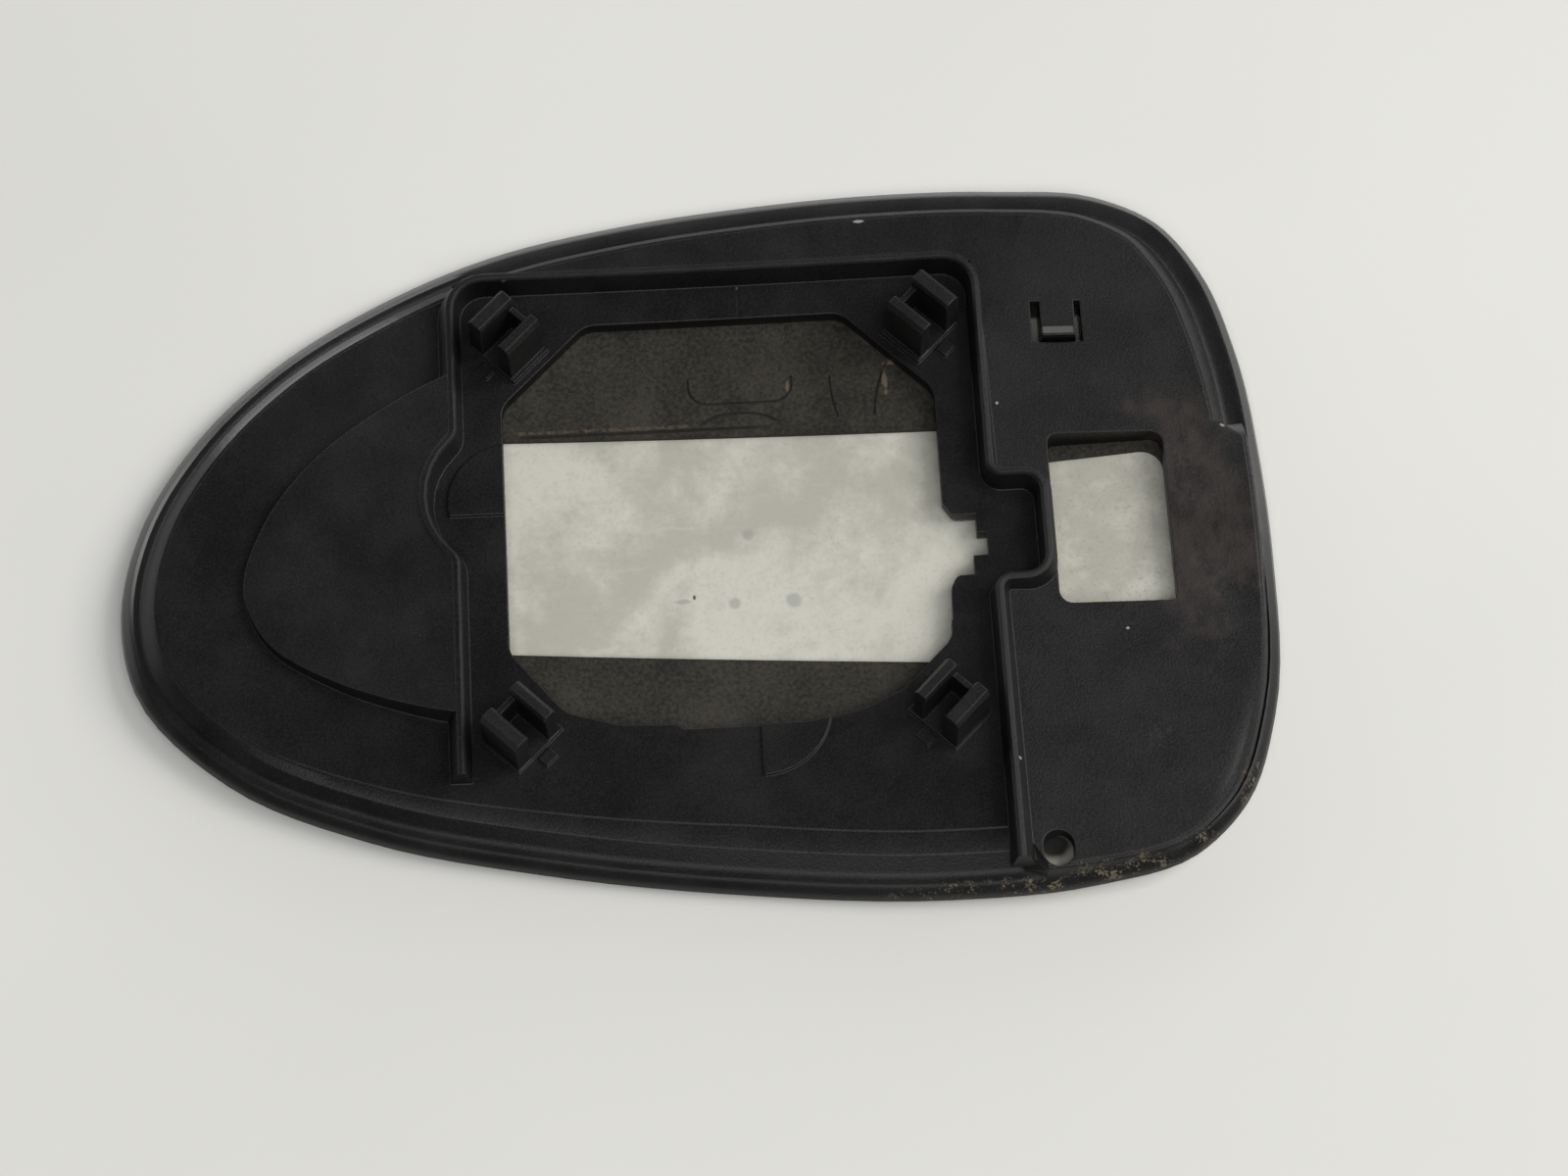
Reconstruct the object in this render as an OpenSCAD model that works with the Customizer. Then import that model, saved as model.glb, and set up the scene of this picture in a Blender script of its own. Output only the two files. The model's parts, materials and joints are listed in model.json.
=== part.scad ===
// Exterior mirror glass with its clip-on backing plate, lying face down.
// Origin: under the middle of the outline, on the surface that the glass lies on.
// X runs along the mirror to its blunt end, Y across it, Z up through the back.

/* [Outline] */
// Length of the mirror from the tip to the blunt end
plate_l = 175; // [168:1:190]
// Width of the mirror at its widest
plate_w = 117; // [114:1:127]
// Radius of the convex front of the glass
glass_r = 1400; // [1000:50:2200]

/* [Layers] */
// Thickness of the glass
glass_t = 2; // [1.8:0.1:2.6]
// Thickness of the adhesive pad
pad_t = 1; // [0.8:0.1:1.4]
// Thickness of the plate's floor
web_t = 2.5; // [2:0.1:3.2]
// Height of the raised areas over the floor
raise_h = 4.2; // [3.4:0.1:5]
// Wall left over the hollows under the raised areas
shell_t = 2.2; // [1.8:0.1:2.6]

/* [Rim] */
// Width of the slanted outer face of the rim
rim_face_w = 1.7; // [1.5:0.1:1.9]
// Width from the outline to the foot of the slope, along the tip and the lower edge
rim_ledge_w = 3.2; // [2.8:0.1:3.5]
// Height of the rim's crest over the back of the glass
rim_ledge_h = 1; // [0.8:0.1:1.2]
// Width of the slope from the outline along the tip
tip_slope_w = 5.8; // [5.4:0.1:6.6]
// Width of the slope from the outline along the lower edge
low_slope_w = 8.9; // [7:0.1:9.2]
// Width of the slope from the outline along the upper edge
top_slope_w = 8; // [7.4:0.1:8.6]

/* [Actuator pocket] */
// Width of the pocket at its floor
pocket_w = 78.6; // [77.4:0.2:80]
// Distance from the actuator's axis to the upper wall, at the floor
pocket_top = 40.7; // [40:0.1:41.6]
// Slope of the pocket's walls, as run over rise
pocket_draft = 0.16; // [0.05:0.01:0.2]
// Thickness of the rib round the pocket
rib_t = 1.6; // [1.4:0.1:2]
// Height of the rib over the raised areas
rib_proud = 0.25; // [0.2:0.05:0.5]
// Width of the window in the pocket's floor
window_w = 66.6; // [62:0.2:67.4]

/* [Clips] */
// Distance from the actuator's axis to the middle of each clip's gap
clip_radius = 45; // [44.5:0.1:45.5]
// Gap between the two prongs of a clip
clip_gap = 4; // [3.4:0.1:4.4]
// Length of a prong
clip_l = 7.2; // [6:0.1:8]
// Height of the prongs over the floor
clip_h = 9.4; // [8:0.1:11]
// Thickness of the inner prong
inner_prong_t = 2; // [1.8:0.1:2.4]
// Thickness of the outer prong
outer_prong_t = 2.5; // [2:0.1:2.8]

/* [Openings] */
// Width of the connector opening beside the pocket
port_w = 17.8; // [15:0.2:18.4]
// Length of the connector opening
port_l = 27.4; // [24:0.2:28]
// Diameter of the drain hole near the lower edge
drain_d = 4.6; // [3.6:0.1:4.8]
// Length of the latch tongue
tongue_l = 6; // [5:0.1:7]
// Width of the latch tongue
tongue_w = 5.3; // [4.6:0.1:6]

/* [Hidden] */

// Fineness of round walls and of the spherical faces
$fn = 64;
ball_fn = 256;
// Points along each span of the outline and along each round corner
span_n = 6;
corner_n = 6;
// Small distance that keeps joined solids overlapping
lap = 0.5;
// Air between a curved face and the face that it rests on
seat_gap = 0.03;
// Height that every extrusion clears
tall = 40;

// The real outline, read from the actuator's axis, tip on the left
nominal_l = 175;
nominal_w = 117;
outline_marks = [
    [83.1, -8], [82.8, 7], [80.8, 26], [76.6, 40.2], [70.6, 49], [61, 54.4],
    [46, 56.5], [25, 57.2], [5, 56.2], [-15, 53.9], [-35, 49.5], [-53, 41.8],
    [-69, 31.6], [-81.5, 18.7], [-89.4, 4.5], [-91.9, -8.5], [-89.7, -21],
    [-76, -36.2], [-55, -46.1], [-30, -52.3], [0, -57.1], [30, -59.7],
    [52, -58.8], [67, -55.1], [75.2, -47.6], [80.8, -33.8]
];

// Heights over the front of the glass, along the radius of its curve
pad_top_h = glass_t + pad_t;
floor_h = pad_top_h + web_t;
top_h = floor_h + raise_h;
rim_foot_h = 0.4;
rim_toe_w = 0.45;
rim_toe_h = 1.7;

// Half sizes and edges of the pocket at its floor
pocket_half = pocket_w / 2;
jog_right = 47.2;
jog_top = 3.8;
jog_low = -10.7;
bulge_c = [-32.5, 5.8];
bulge_r = 11.6;
bulge_blend = 4;
below_all = -80;

// Fall of the raised area beside the pocket, to the blunt end and to the lower edge
fall_end = 5.7;
fall_low = 2.5;
fall_at = [42, 31];

function unit(v) = v / norm(v);
function clamp(v) = max(0, min(1, v));
function turned(v) = [-v.y, v.x];

// Closed smooth curve through marks, with tangents weighted by the chords on both sides
function mark(m, i) = m[(i + len(m)) % len(m)];
function tangent(m, i) =
    let (a = mark(m, i) - mark(m, i - 1), b = mark(m, i + 1) - mark(m, i), la = norm(a), lb = norm(b))
    (a / la * lb + b / lb * la) / (la + lb);
function smooth_closed(m, n) = [
    for (i = [0 : len(m) - 1], k = [0 : n - 1])
        let (
            t = k / n, p = mark(m, i), q = mark(m, i + 1), c = norm(q - p),
            h1 = 2 * t ^ 3 - 3 * t ^ 2 + 1, h2 = t ^ 3 - 2 * t ^ 2 + t,
            h3 = 3 * t ^ 2 - 2 * t ^ 3, h4 = t ^ 3 - t ^ 2
        )
        h1 * p + h2 * c * tangent(m, i) + h3 * q + h4 * c * tangent(m, i + 1)
];

// Arc at corner b between neighbours a and c, with the same number of points for every radius
function corner(a, b, c, r) =
    let (
        u = unit(a - b), v = unit(c - b), half = acos(u * v) / 2, mid = b + unit(u + v) * r / sin(half),
        from = b + u * r / tan(half) - mid, side = sign(cross(b - a, c - b)),
        start = atan2(from.y, from.x), sweep = side * (180 - 2 * half)
    )
    [for (k = [0 : corner_n]) let (t = start + sweep * k / corner_n) mid + r * [cos(t), sin(t)]];
function xy(p) = [p.x, p.y];
function rounded(pts) = [
    for (i = [0 : len(pts) - 1])
        let (a = xy(mark(pts, i - 1)), b = xy(pts[i]), c = xy(mark(pts, i + 1)))
        each (pts[i].z == 0 ? [b] : corner(a, b, c, pts[i].z))
];
function arc(c, r, from, to) = [
    for (k = [0 : corner_n + 2]) let (a = from + (to - from) * k / (corner_n + 2)) c + r * [cos(a), sin(a)]
];

// The outline at its set length and width, and the way inward at each of its points
outline = [
    for (p = smooth_closed(outline_marks, span_n))
        [p.x * plate_l / nominal_l, p.y * plate_w / nominal_w]
];
inward = [for (i = [0 : len(outline) - 1]) unit(turned(mark(outline, i + 1) - mark(outline, i - 1)))];
outline_x = [for (p = outline) p.x];
outline_y = [for (p = outline) p.y];
middle = [max(outline_x) + min(outline_x), max(outline_y) + min(outline_y)] / 2;

// Height over the lying surface of a face h over the front of the glass
function z_at(p, h) = glass_r - sqrt((glass_r - h) ^ 2 - p.x ^ 2 - p.y ^ 2);
function on_height(p, h) = [p.x, p.y, z_at(p, h)];
fall_r = glass_r - top_h;
fall_xy = fall_r * [tan(fall_end), -tan(fall_low)];
function under_fall(p) = let (d = p - fall_xy) sqrt(fall_r ^ 2 - d * d);
fall_c = [fall_xy.x, fall_xy.y, z_at(fall_at, top_h) + under_fall(fall_at)];
function raised_z(p) = min(z_at(p, top_h), fall_c.z - under_fall(p));

// Which slope the rim has at a point: tip and lower edge, upper edge, or blunt end
slope_start = -36;
slope_end = 11.7;
rib_foot_x = 43.5;
end_narrowing = 1.3;
blunt_more = 0.7;
groove_w = 2.2;
groove_drop = 0.2;
ledge_drop = 0.1;
upper_ledge_w = 4.7;
crest_drop = 0.08;
back_drop = 0.14;
slope_mid = 1.6;
slope_mid_drop = 0.65;
TIP = 0;
UPPER = 1;
BLUNT = 2;
function kind(p) =
    p.y > 0 ? (p.x < slope_start ? TIP : p.y > slope_end || p.x < 70 ? UPPER : BLUNT)
    : p.x > rib_foot_x ? BLUNT : TIP;
function low_share(p) = p.y > 0 ? 0 : clamp((p.x + 85) / 85);
function end_share(p) = p.x < 60 ? 0 : clamp((45 - p.y) / (45 - slope_end));
function slope_w(i) =
    let (p = outline[i], k = kind(p))
    k == TIP ? tip_slope_w + (low_slope_w - tip_slope_w) * low_share(p)
    : k == UPPER ? top_slope_w - end_narrowing * end_share(p) : rim_face_w + blunt_more;
function inset(i, d) = outline[i] + inward[i] * d;
function inset_loop(widths) = [for (i = [0 : len(outline) - 1]) inset(i, widths[i])];
function even_inset(d) = inset_loop([for (p = outline) d]);
// Edge of the plate within the rim's solid
join_w = 0.4;
plate_widths = [for (i = [0 : len(outline) - 1]) slope_w(i) + join_w];

// Section of the rim at outline point i, from the outer foot over the slope and back underneath
function rim_point(i, d, h) = let (p = inset(i, d)) [p.x, p.y, z_at(p, h)];
function top_point(i, d, drop) = let (p = inset(i, d)) [p.x, p.y, raised_z(p) - drop];
function rim_section(i) =
    let (
        p = outline[i], k = kind(p), w = slope_w(i), back = w + 2 * join_w,
        crest = glass_t + rim_ledge_h, seat = glass_t + seat_gap, lip_w = glass_inset - 0.1
    )
    concat(
        [
            rim_point(i, 0, rim_foot_h),
            rim_point(i, rim_toe_w, rim_toe_h),
            rim_point(i, rim_face_w, crest)
        ],
        k == TIP ? [
            rim_point(i, groove_w, crest - groove_drop),
            rim_point(i, rim_ledge_w, crest - ledge_drop),
            rim_point(i, rim_ledge_w + slope_mid + low_share(p), floor_h - slope_mid_drop),
            rim_point(i, w, floor_h - crest_drop),
            rim_point(i, back, floor_h - back_drop)
        ] : k == UPPER ? [
            rim_point(i, groove_w, crest - groove_drop),
            rim_point(i, upper_ledge_w, crest - ledge_drop),
            top_point(i, w - 0.9, 0.9),
            top_point(i, w, crest_drop),
            top_point(i, back, back_drop)
        ] : [
            rim_point(i, rim_face_w + 0.1, crest + 0.3),
            top_point(i, w - 0.4, 0.7),
            top_point(i, w - 0.25, 0.3),
            top_point(i, w, crest_drop),
            top_point(i, back, back_drop)
        ],
        [rim_point(i, back, seat), rim_point(i, lip_w, seat), rim_point(i, lip_w, rim_foot_h)]
    );
glass_inset = 1.9;
pad_inset = max(low_slope_w, top_slope_w) + 1.2;

// Solid swept through closed rings of points
module ring_sweep(rings) {
    n = len(rings);
    m = len(rings[0]);
    polyhedron(
        [for (r = rings) each r],
        [
            for (i = [0 : n - 1], j = [0 : m - 1])
                let (
                    e = (i + 1) % n, f = (j + 1) % m, a = i * m + j, b = i * m + f, c = e * m + j, d = e * m + f
                )
                each [[a, b, c], [b, d, c]]
        ]
    );
}

// Solid swept through open rings of points, from the first to the last
module bar_sweep(rings) {
    n = len(rings);
    m = len(rings[0]);
    polyhedron(
        [for (r = rings) each r],
        concat(
            [[for (j = [1 : m]) m - j], [for (j = [0 : m - 1]) (n - 1) * m + j]],
            [
                for (i = [0 : n - 2], j = [0 : m - 1])
                    let (f = (j + 1) % m, a = i * m + j, b = i * m + f, c = a + m, d = b + m)
                    each [[a, b, c], [b, d, c]]
            ]
        )
    );
}

// Solid between a lower and an upper outline with as many points, both seen whole from hub
module loft(low, low_z, high, high_z, hub) {
    n = len(low);
    polyhedron(
        concat(
            [for (p = low) [p.x, p.y, low_z]], [for (p = high) [p.x, p.y, high_z]],
            [[hub.x, hub.y, low_z], [hub.x, hub.y, high_z]]
        ),
        [
            for (i = [0 : n - 1])
                let (j = (i + 1) % n)
                each [[i, n + i, j], [j, n + i, n + j], [i, j, 2 * n], [n + j, n + i, 2 * n + 1]]
        ]
    );
}

module ball(h) translate([0, 0, glass_r]) rotate([90, 0, 0]) sphere(glass_r - h, $fn = ball_fn);

// What lies between heights low and high over the front of the glass
module layer(low, high) {
    intersection() {
        linear_extrude(tall) children();
        difference() {
            ball(low);
            ball(high);
        }
    }
}

function tight(d) = max(0.3, 3.2 - d);

// Outline of the pocket, grown by d, from its lower right end round to its lower left one
function pocket(d, right_end = below_all, left_end = below_all) =
    let (
        w = pocket_half + d, blend = bulge_blend - d, far = w + blend, reach = bulge_r + bulge_blend,
        rise = sqrt(reach ^ 2 - (far + bulge_c.x) ^ 2), turn = atan2(rise, far + bulge_c.x)
    )
    concat(
        [[w, right_end]],
        corner([w, right_end], [w, jog_low - d], [jog_right + d, jog_low - d], tight(d)),
        corner([w, jog_low - d], [jog_right + d, jog_low - d], [jog_right + d, jog_top + d], 2.2 + d),
        corner([jog_right + d, jog_low - d], [jog_right + d, jog_top + d], [w, jog_top + d], 2 + d),
        corner([jog_right + d, jog_top + d], [w, jog_top + d], [w, pocket_top + d], tight(d)),
        corner([w, jog_top + d], [w, pocket_top + d], [-w, pocket_top + d], 4 + d),
        corner([w, pocket_top + d], [-w, pocket_top + d], [-w, bulge_c.y], 4 + d),
        arc([-far, bulge_c.y + rise], blend, 0, -turn),
        arc(bulge_c, bulge_r + d, 180 - turn, 180 + turn),
        arc([-far, bulge_c.y - rise], blend, turn, 0),
        [[-w, left_end]]
    );

// The window in the floor, with the stepped notch that leads to the connector: corners and their radii
nominal_window_w = 66.6;
window_marks = [
    [33.3, 19, 0], [33.3, 21.4, 4], [19.6, 35.1, 4], [-20, 35.1, 4], [-33.3, 22, 4], [-33.3, -18.6, 4],
    [-25.2, -28.6, 5], [-17, -31, 6], [-8.6, -31.3, 0], [-7.8, -32.1, 0], [11, -32.1, 6], [19, -30.5, 5],
    [25.4, -27.6, 5], [33.3, -19.8, 4]
];
notch_marks = [
    [-0.5, 3.4, 0], [0, 2.4, 0], [1.5, 0.1, 1.2], [4.9, 0.1, 0], [4.9, -3, 0], [6.4, -3, 0], [6.4, -6.7, 0],
    [4.1, -6.7, 0], [4.1, -9.8, 0], [1.4, -9.8, 1.2], [0.4, -11.6, 1.4], [0.2, -17, 0], [-0.5, -17, 0]
];
module window_shape() {
    polygon(rounded([for (m = window_marks) [m.x * window_w / nominal_window_w, m.y, m.z]]));
    translate([window_w / 2, 0]) polygon(rounded(notch_marks));
}

// The connector opening
port_c = [58.6, -2.2];
module port_shape(grow = 0) {
    w = port_w / 2 + grow;
    l = port_l / 2 + grow;
    translate(port_c) polygon(rounded([[w, -l, 1], [w, l, 2], [-w, l, 1.6], [-w, -l, 2]]));
}

// The drain hole, a little longer than it is wide
drain_c = [46.3, -54.2];
drain_stretch = 0.9;
module drain_shape(grow = 0) {
    for (s = [-1, 1]) translate(drain_c + [0, s * drain_stretch / 2]) circle(drain_d / 2 + grow);
    translate(drain_c) square([drain_d + 2 * grow, drain_stretch], center = true);
}

// The slots round the latch tongue
tongue_c = [52.9, 27.3];
left_slot_w = 1.5;
right_slot_w = 1;
tip_slot_w = 0.8;
module tongue_slots() {
    translate(tongue_c + [-tongue_w / 2 - left_slot_w, 0]) square([left_slot_w, tongue_l]);
    translate(tongue_c + [tongue_w / 2, 0]) square([right_slot_w, tongue_l]);
    translate(tongue_c + [-tongue_w / 2 - left_slot_w, -tip_slot_w])
        square([tongue_w + left_slot_w + right_slot_w, tip_slot_w + 0.01]);
}

module openings() {
    window_shape();
    port_shape();
    drain_shape();
    tongue_slots();
}

// The rim that holds the edge of the glass, with the slope up to the plate
module rim() {
    difference() {
        ring_sweep([for (i = [0 : len(outline) - 1]) rim_section(i)]);
        linear_extrude(tall) drain_shape();
    }
}

// The wall of the pocket leans back by wall_lean up to the raised areas; they end within the rib
wall_lean = raise_h * pocket_draft;
rib_out = wall_lean + rib_t;
rib_mid = wall_lean + rib_t / 2;
module pocket_shape(d) polygon(pocket(d));

// Plan of the raised areas above and beside the pocket, d inside the crest of the slope
module raised_plan(d) {
    difference() {
        intersection() {
            polygon(inset_loop([for (w = plate_widths) w + d]));
            union() {
                translate([-pocket_half - rib_t / 2, pocket_top]) square([130, 30]);
                translate([pocket_half + rib_t / 2, -70]) square([60, 140]);
            }
        }
        pocket_shape(rib_mid + d);
    }
}

// What lies over the fall of the raised area, or over a face drop below it
module over_fall(drop) translate(fall_c) rotate([90, 0, 0]) sphere(fall_r + drop, $fn = ball_fn);

// The floor, and the raised areas above and beside the pocket, falling away to the blunt end
module trays() {
    difference() {
        union() {
            layer(pad_top_h + seat_gap, floor_h) difference() {
                polygon(inset_loop(plate_widths));
                openings();
            }
            layer(floor_h - lap, top_h) difference() {
                raised_plan(0);
                openings();
            }
        }
        over_fall(0);
    }
}

// Low steps in the floor: one in the bulge, one below the window
step_h = 0.6;
step_side = 20;
bulge_step_c = [-32.3, 5.9];
bulge_step_r = 9.6;
bulge_step_y = 3.95;
low_step_c = [3.7, -29.5];
low_step_r = 10.7;
low_step_x = 3.9;
module floor_steps() {
    layer(floor_h - lap, floor_h + step_h) difference() {
        union() {
            intersection() {
                translate(bulge_step_c) circle(bulge_step_r);
                translate([bulge_step_c.x - step_side, bulge_step_y]) square(step_side);
            }
            intersection() {
                translate(low_step_c) circle(low_step_r);
                translate([low_step_x, low_step_c.y - step_side]) square(step_side);
            }
        }
        window_shape();
    }
}

// The raised lip across the free end of the tongue
tongue_lip_w = 1.5;
tongue_lip_h = 0.55;
tongue_lip_air = 0.1;
module tongue_lip() {
    difference() {
        layer(floor_h, top_h + tongue_lip_h)
            translate(tongue_c + tongue_lip_air * [1, 1] - [tongue_w / 2, 0])
            square([tongue_w - 2 * tongue_lip_air, tongue_lip_w]);
        over_fall(-tongue_lip_h);
    }
}

// The hollow under the raised area beside the pocket, with walls kept round its openings
module hollow() {
    difference() {
        layer(pad_top_h - lap, top_h - shell_t) difference() {
            intersection() {
                raised_plan(shell_t);
                translate([pocket_half + rib_out, -70]) square([60, 104]);
            }
            port_shape(shell_t);
            drain_shape(shell_t);
            translate(tongue_c - [tongue_w / 2 + left_slot_w, tip_slot_w] - shell_t * [1, 1])
                square([tongue_w + left_slot_w + right_slot_w, 20] + shell_t * [2, 0]);
        }
        over_fall(shell_t);
    }
}

// The rib round the pocket, free at its lower left end
rib_end_y = -39.1;
rib_foot_y = -56.5;
rib_step = 8;
rib_lap = 0.8;
rib_skirt = 0.6;
rib_shoulder = 1.3;
rib_round = 0.4;
function finer(v, n) = [
    for (i = [0 : len(v) - 2], k = [0 : n[i] - 1]) v[i] + (v[i + 1] - v[i]) * k / n[i],
    v[len(v) - 1]
];
module pocket_rib() {
    plain = pocket(0, rib_foot_y, rib_end_y);
    cuts = [for (i = [0 : len(plain) - 2]) ceil(norm(plain[i + 1] - plain[i]) / rib_step)];
    // From the outer foot over the rounded top to the inner foot: growth and height of each line
    section = [
        [rib_out + wall_lean + rib_skirt, floor_h - rib_lap], [rib_out + rib_skirt / 2, top_h - rib_shoulder],
        [rib_out - rib_round, top_h + 0.03], [wall_lean + rib_round, top_h + rib_proud],
        [wall_lean, top_h - 0.15], [-rib_lap * pocket_draft, floor_h - rib_lap]
    ];
    lines = [for (q = section) finer(pocket(q.x, rib_foot_y, rib_end_y), cuts)];
    difference() {
        bar_sweep([
            for (i = [0 : len(lines[0]) - 1])
                [for (k = [0 : len(section) - 1]) on_height(lines[k][i], section[k].y)]
        ]);
        linear_extrude(tall) port_shape();
    }
}

// The leaf-shaped raised area at the tip
leaf_marks = [
    [-40.5, 26.2], [-50, 21.7], [-61.5, 13.5], [-69.5, 3], [-72.6, -7.5], [-69.4, -15.8], [-60, -22.6],
    [-50, -26.8], [-40.5, -29.2]
];
leaf_draft = 0.1;
leaf_fall = 4.3;
leaf_fall_at = [-40, 0];
leaf_xy = [-fall_r * tan(leaf_fall), 0];
leaf_d = leaf_fall_at - leaf_xy;
leaf_c = [leaf_xy.x, leaf_xy.y, z_at(leaf_fall_at, top_h) + sqrt(fall_r ^ 2 - leaf_d * leaf_d)];
leaf_hub = [-55, -5];
function leaf(d) =
    let (
        m = [for (p = leaf_marks) [p.x * plate_l / nominal_l, p.y]],
        s = smooth_closed(m, span_n), n = (len(m) - 1) * span_n, g = [for (i = [0 : n]) s[i]]
    )
    [
        for (i = [0 : n])
            let (way = unit(turned(g[min(i + 1, n)] - g[max(i - 1, 0)])))
            i == 0 || i == n ? [-pocket_half - rib_t, g[i].y - way.y * d] : g[i] - way * d
    ];

leaf_low_z = pad_top_h;
leaf_high_z = top_h + 8;
module leaf_plateau() {
    intersection() {
        difference() {
            loft(
                leaf((top_h - leaf_low_z) * leaf_draft), leaf_low_z,
                leaf((top_h - leaf_high_z) * leaf_draft), leaf_high_z, leaf_hub
            );
            linear_extrude(tall) pocket_shape(rib_mid);
        }
        difference() {
            ball(floor_h - lap);
            over_leaf(0);
        }
    }
}

// What lies over the leaf's face, which falls to the tip, or over a face drop below it
module over_leaf(drop) translate(leaf_c) rotate([90, 0, 0]) sphere(fall_r + drop, $fn = ball_fn);

// The hollow under the leaf
module leaf_hollow() {
    intersection() {
        linear_extrude(tall) difference() {
            polygon(leaf(-shell_t - 0.5));
            pocket_shape(rib_out);
        }
        difference() {
            ball(pad_top_h - lap);
            over_leaf(shell_t);
        }
    }
}

// One clip, for a gap on +X at clip_radius, with its locating mark on the given side
clip_top_z = z_at([clip_radius, 0], floor_h) + clip_h;
plinth_h = 0.5;
lead_in = 0.9;
hook = 0.3;
gap_wall_t = 0.9;
gap_wall_below = 3;
nub = [2.4, 1.9];
nub_gap = 1.7;
module prong(t) {
    // Section with a lead-in, and a small hook over the gap
    foot = floor_h - lap;
    rotate([90, 0, 0]) linear_extrude(clip_l, center = true) polygon([
        [0, foot], [t, foot], [t, clip_top_z - lead_in], [t - 0.6, clip_top_z], [0.1, clip_top_z],
        [-hook, clip_top_z - 0.6], [-hook, clip_top_z - 1.1], [0, clip_top_z - 1.7]
    ]);
}

module clip(side) {
    floor_z = z_at([clip_radius, 0], floor_h);
    foot = floor_h - lap;
    wall_h = clip_top_z - gap_wall_below - foot;
    plinth_w = clip_gap + inner_prong_t + outer_prong_t + 1;
    translate([clip_radius + clip_gap / 2, 0]) prong(outer_prong_t);
    translate([clip_radius - clip_gap / 2, 0]) mirror([1, 0, 0]) prong(inner_prong_t);
    translate([clip_radius, -side * (clip_l - gap_wall_t) / 2, foot + wall_h / 2])
        cube([clip_gap + 1, gap_wall_t, wall_h], center = true);
    translate([clip_radius - clip_gap / 2 - inner_prong_t - 0.8, -clip_l / 2 - 0.3, foot])
        cube([plinth_w, clip_l + 0.6, floor_z + plinth_h - foot]);
    translate([clip_radius, side * (clip_l / 2 + nub_gap), floor_z - lap + plinth_h / 2])
        cube([nub.x, nub.y, plinth_h + 2 * lap], center = true);
}

module clips() {
    for (q = [0 : 3]) rotate(45 + 90 * q) clip(q == 1 || q == 2 ? 1 : -1);
}

module backing_plate() {
    color("#1c1d1f") {
        difference() {
            union() {
                rim();
                trays();
                floor_steps();
                tongue_lip();
                pocket_rib();
                leaf_plateau();
                clips();
            }
            hollow();
            leaf_hollow();
        }
    }
}

// The pad, cut out where the glass shows
pad_window = [[-36.5, 17.4], [43, 15.5], [43, -23.6], [-36.5, -17.7]];
pad_port = [[67.6, -19.5, 1], [67.6, 10.2, 3.4], [48.3, 9.2, 0.6], [48.3, -19.5, 1]];
pad_tongue = [10, 10];
module adhesive_pad() {
    color("#6b655a") layer(glass_t + seat_gap, pad_top_h - seat_gap) difference() {
        polygon(even_inset(pad_inset));
        polygon(pad_window);
        polygon(rounded(pad_port));
        translate(tongue_c - [pad_tongue.x / 2, 3]) square(pad_tongue);
    }
}

module mirror_glass() {
    color("#c9c8c2") layer(0, glass_t) polygon(even_inset(glass_inset));
}

module in_place() translate([-middle.x, -middle.y]) children();

in_place() backing_plate();
in_place() adhesive_pad();
in_place() mirror_glass();
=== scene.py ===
# Exterior mirror glass in its backing plate, lying face down on a pale table.
# Lengths are in metres in the CAD frame; places on the plate are given in millimetres.
import json
import math

import bpy
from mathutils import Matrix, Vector

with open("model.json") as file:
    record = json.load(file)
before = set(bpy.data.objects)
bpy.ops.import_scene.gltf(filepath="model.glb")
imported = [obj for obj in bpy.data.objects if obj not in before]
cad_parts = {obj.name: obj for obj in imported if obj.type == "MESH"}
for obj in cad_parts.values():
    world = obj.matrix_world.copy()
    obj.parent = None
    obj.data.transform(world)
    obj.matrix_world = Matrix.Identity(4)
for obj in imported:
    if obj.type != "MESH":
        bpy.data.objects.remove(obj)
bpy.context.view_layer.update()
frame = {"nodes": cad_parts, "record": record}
nodes = frame["nodes"]

MM = 0.001
# The actuator's axis, which every place on the plate is measured from
HUB = Vector(next(m["pos_m"] for m in frame["record"]["mounts"] if m["name"] == "clip_pattern"))
# Radius of the curve that the glass and all faces of the plate follow
GLASS_CURVE = 1.4


def on_plate(x, y, z=0.0):
    """A place in millimetres from the actuator's axis, with z over the table."""
    return Vector((HUB.x + x * MM, HUB.y + y * MM, z * MM))


# Shader trees

# Spacing of the nodes in the editor, and the number of rows they fall in
NODE_ACROSS = 190
NODE_DOWN = 170
NODE_ROWS = 4
# Drops the height of a place, so that a pattern is laid out as seen from above
FROM_ABOVE = (1.0, 1.0, 0.0)


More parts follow.
